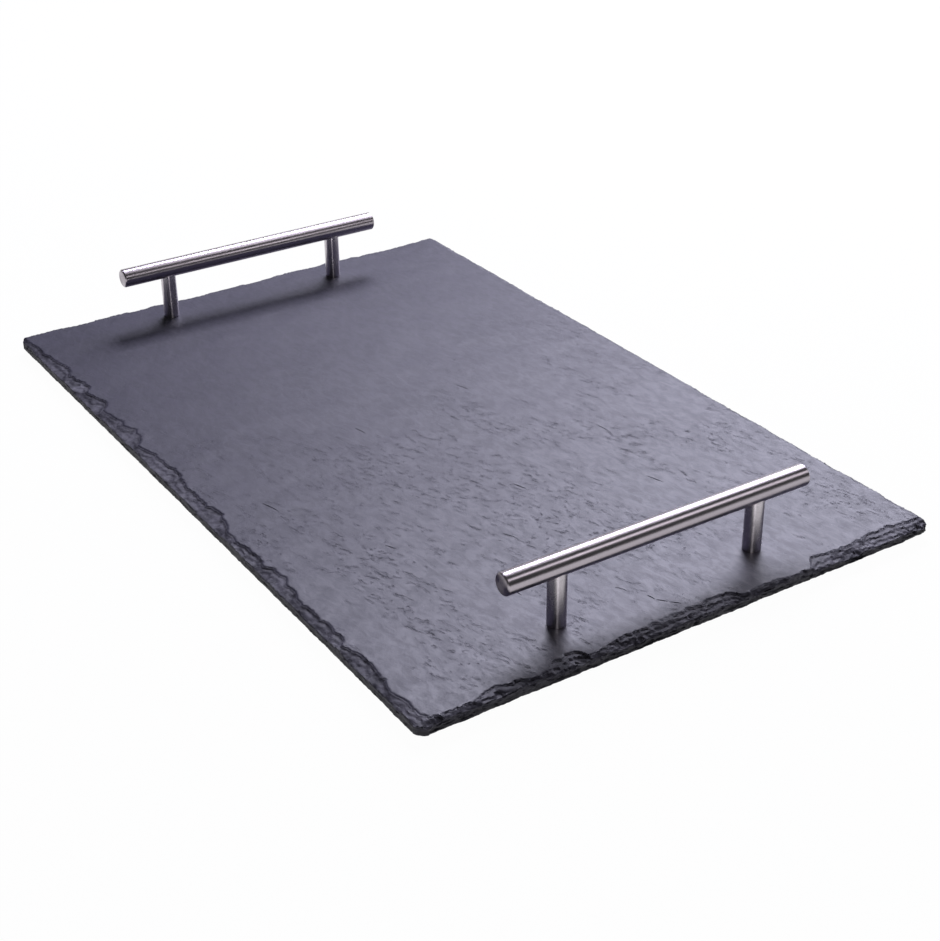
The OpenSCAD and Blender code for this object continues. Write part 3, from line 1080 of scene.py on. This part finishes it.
def screw(corner):
    """A pan-head screw: a domed head with a cross recess under a plain shank."""
    at = upright(f"{corner}_screw")
    seat = upright(f"{corner}_washer").low
    piece = cylinder(at.radius, at.low + HEAD_DOME, seat, at.x, at.y, SMALL_STEPS)
    sphere_radius = (at.radius ** 2 + HEAD_DOME ** 2) / (2 * HEAD_DOME)
    wide, rise = at.radius, 0.0
    pick(piece, lambda face: face.normal.z < -FACING)
    for step in range(1, DOME_STEPS + 1):
        next_wide = at.radius * math.cos(step / (DOME_STEPS + 1) * math.pi / 2)
        next_rise = math.sqrt(sphere_radius ** 2 - next_wide ** 2) - (sphere_radius - HEAD_DOME)
        bpy.ops.mesh.inset(thickness=wide - next_wide)
        bpy.ops.transform.translate(value=(0, 0, rise - next_rise))
        wide, rise = next_wide, next_rise
    leave_edit()
    pick(piece, lambda face: face.normal.z > FACING)
    bpy.ops.mesh.inset(thickness=at.radius - SCREW_RADIUS)
    bpy.ops.mesh.extrude_region_move(TRANSFORM_OT_translate={"value": (0, 0, at.high - seat)})
    bpy.ops.mesh.bevel(offset=SHANK_TIP_BEVEL, segments=2, affect="EDGES")
    leave_edit()
    for turn in (0, 90):
        bpy.ops.mesh.primitive_cube_add(size=1, location=(at.x, at.y, at.low))
        cross = bpy.context.object
        cross.scale = (CROSS_LENGTH, CROSS_WIDTH, 2 * CROSS_DEPTH)
        cross.rotation_euler = (0, 0, math.radians(turn))
        cut(piece, settle(cross))
    return piece


def washer(corner):
    """A flat ring with broken edges."""
    at = upright(f"{corner}_washer")
    piece = cylinder(at.radius, at.low, at.high, at.x, at.y, SMALL_STEPS)
    pick(piece, lambda face: abs(face.normal.z) > FACING)
    bpy.ops.mesh.inset(thickness=at.radius - SCREW_RADIUS - WASHER_GAP)
    bpy.ops.mesh.bridge_edge_loops()
    leave_edit()
    pick(piece, lambda edge: edge.calc_face_angle(0) > SHARP, "EDGE")
    bpy.ops.mesh.bevel(offset=EDGE_BREAK, segments=2, affect="EDGES")
    leave_edit()
    return piece


def foot(corner):
    """A bumper foot: wide where it is stuck on, narrower and rounded where it stands."""
    at = upright(f"{corner}_foot")
    piece = cylinder(at.radius, at.low, at.high, at.x, at.y, SMALL_STEPS)
    pick(piece, lambda face: face.normal.z < -FACING)
    tip_share = FOOT_TIP_RADIUS / at.radius
    bpy.ops.transform.resize(value=(tip_share, tip_share, 1), center_override=(at.x, at.y, at.low))
    bpy.ops.mesh.bevel(offset=FOOT_TIP_ROUND, segments=6, affect="EDGES")
    leave_edit()
    return piece


def fit(kind, place, first):
    """Fit a kind of piece at a place: modelled at the first place, and copied from there to the others."""
    node = f"{place}_{kind.node}"
    if place == first:
        piece = kind.model(place)
    else:
        piece = copied(bpy.data.objects[f"{first}_{kind.name}"], f"{first}_{kind.node}", node)
    finish_piece(piece, f"{place}_{kind.name}", kind.material, [node], kind.crease)


def dress_frame():
    """Replace every CAD node but the studs, which lie inside the steel and only take its plating."""
    # One steel, painted darker on the bars and lighter on the posts: painted shade and painted light
    bar_steel = brushed_steel("brushed_bar", "Y", BAR_STEEL_SHADED, 0.32, 0.78)
    post_steel = brushed_steel("brushed_post", "Z", POST_STEEL_LIT, 0.25, 0.94)
    zinc = plated_steel()
    bars = Kind(bar, "bar", "grip_bar", "brushed_bar", bar_steel, 35)
    small_parts = (
        Kind(post, "post", "saddle_post", "brushed_post", post_steel, 35),
        Kind(screw, "screw", "pan_screw", "plated_fastener", zinc, 30),
        Kind(washer, "washer", "flat_washer", "plated_fastener", zinc, 30),
        Kind(foot, "foot", "bumper", "rubber_foot", rubber(), 40),
    )
    finish_piece(slate(), "dressed_slate", slate_finish(), ["slate_board"], 32)
    for end in ENDS:
        fit(bars, end, ENDS[0])
        for corner in (f"{end}_left", f"{end}_right"):
            for kind in small_parts:
                fit(kind, corner, CORNERS[0])
            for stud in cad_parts[f"{corner}_bar_stud"].material_slots:
                stud.material = zinc


# Floor, light and camera


def seen_or_through(tree, rays):
    """1 for what the camera sees, straight or through something clear, and 0 for other light."""
    return maths(tree, "MAXIMUM", rays["Is Camera Ray"], rays["Is Transmission Ray"])


def floor():
    """A pale floor that the camera and reflections see as white, under the object's own shadow."""
    bpy.ops.mesh.primitive_plane_add(size=FLOOR_SIZE, location=(0, 0, -FLOOR_DROP))
    piece = settle(bpy.context.object)
    piece.name = "pale_floor"
    material = bpy.data.materials.new("pale_floor")
    material.use_nodes = True
    tree = material.node_tree
    tree.nodes.clear()
    output = tree.nodes.new("ShaderNodeOutputMaterial")
    rays = add(tree, "ShaderNodeLightPath").outputs
    shine = times(tree, rays["Is Glossy Ray"], FLOOR_IN_METAL)
    seen = maths(tree, "MAXIMUM", seen_or_through(tree, rays), shine)
    paper = add(tree, "ShaderNodeBsdfDiffuse", {"Color": FLOOR_PAPER}).outputs[0]
    glow = add(tree, "ShaderNodeEmission", {"Color": WHITE, "Strength": FLOOR_GLOW}).outputs[0]
    share = times(tree, seen, FLOOR_GLOW_SHARE)
    both = add(tree, "ShaderNodeMixShader", {0: share, 1: paper, 2: glow}).outputs[0]
    tree.links.new(both, output.inputs["Surface"])
    piece.data.materials.append(material)


def surroundings():
    """A white backdrop for the camera, and a dim studio for everything else."""
    world = bpy.data.worlds.new("studio")
    bpy.context.scene.world = world
    world.use_nodes = True
    tree = world.node_tree
    tree.nodes.clear()
    output = tree.nodes.new("ShaderNodeOutputWorld")
    rays = add(tree, "ShaderNodeLightPath").outputs
    dim = blend(tree, rays["Is Glossy Ray"], WORLD_FILL, WORLD_IN_METAL)
    strength = blend(tree, seen_or_through(tree, rays), dim, 1.0)
    back = add(tree, "ShaderNodeBackground", {"Color": WHITE, "Strength": strength}).outputs[0]
    tree.links.new(back, output.inputs["Surface"])


def softbox(name, place, aim, width, height, radiance, colour):
    """A rectangular soft light with an even face of the given brightness."""
    light = bpy.data.lights.new(name, "AREA")
    light.shape = "RECTANGLE"
    light.size = width
    light.size_y = height
    light.energy = radiance * math.pi * width * height
    light.color = colour
    lamp = bpy.data.objects.new(name, light)
    bpy.context.scene.collection.objects.link(lamp)
    back = (Vector(place) - Vector(aim)).normalized()
    across = (Vector((0, 1, 0)) - back * back.y).normalized()
    turn = Matrix((across, back.cross(across), back)).transposed().to_4x4()
    lamp.matrix_world = Matrix.Translation(Vector(place)) @ turn
    lamp.visible_camera = False
    return lamp


def lights():
    """Soft boxes that light everything, and cards that light only the steelwork, or only its posts."""
    for box in SOFTBOXES:
        softbox(*box)
    posts = bpy.data.collections.new("posts")
    steelwork = bpy.data.collections.new("steelwork")
    steelwork.children.link(posts)
    for end in ENDS:
        steelwork.objects.link(bpy.data.objects[f"{end}_grip_bar"])
    for corner in CORNERS:
        posts.objects.link(bpy.data.objects[f"{corner}_saddle_post"])
    for card in CARDS:
        softbox(*card).light_linking.receiver_collection = steelwork
    softbox(*POST_CARD).light_linking.receiver_collection = posts


def camera():
    """The photograph's camera: where it stands, how it is turned, and its lens."""
    azimuth, elevation, roll = (math.radians(a) for a in (VIEW_AZIMUTH, VIEW_ELEVATION, VIEW_ROLL))
    back = Vector((
        math.sin(azimuth) * math.cos(elevation),
        -math.cos(azimuth) * math.cos(elevation),
        math.sin(elevation),
    ))
    right = Vector((math.cos(azimuth), math.sin(azimuth), 0))
    up = back.cross(right)
    across = right * math.cos(roll) + up * math.sin(roll)
    upward = up * math.cos(roll) - right * math.sin(roll)
    place = back * VIEW_DISTANCE + right * VIEW_RIGHT + up * VIEW_UP + Vector((0, 0, SLATE_HIGH.z))
    lens = bpy.data.cameras.new("view")
    lens.sensor_width = SENSOR
    lens.lens = SENSOR * FOCAL_PIXELS / max(IMAGE_WIDTH, IMAGE_HEIGHT)
    lens.clip_start = NEAREST_SEEN
    eye = bpy.data.objects.new("view", lens)
    bpy.context.scene.collection.objects.link(eye)
    eye.matrix_world = Matrix.Translation(place) @ Matrix((across, upward, back)).transposed().to_4x4()
    bpy.context.scene.camera = eye


dress_frame()
floor()
surroundings()
lights()
camera()
bpy.context.scene.view_settings.view_transform = "Standard"
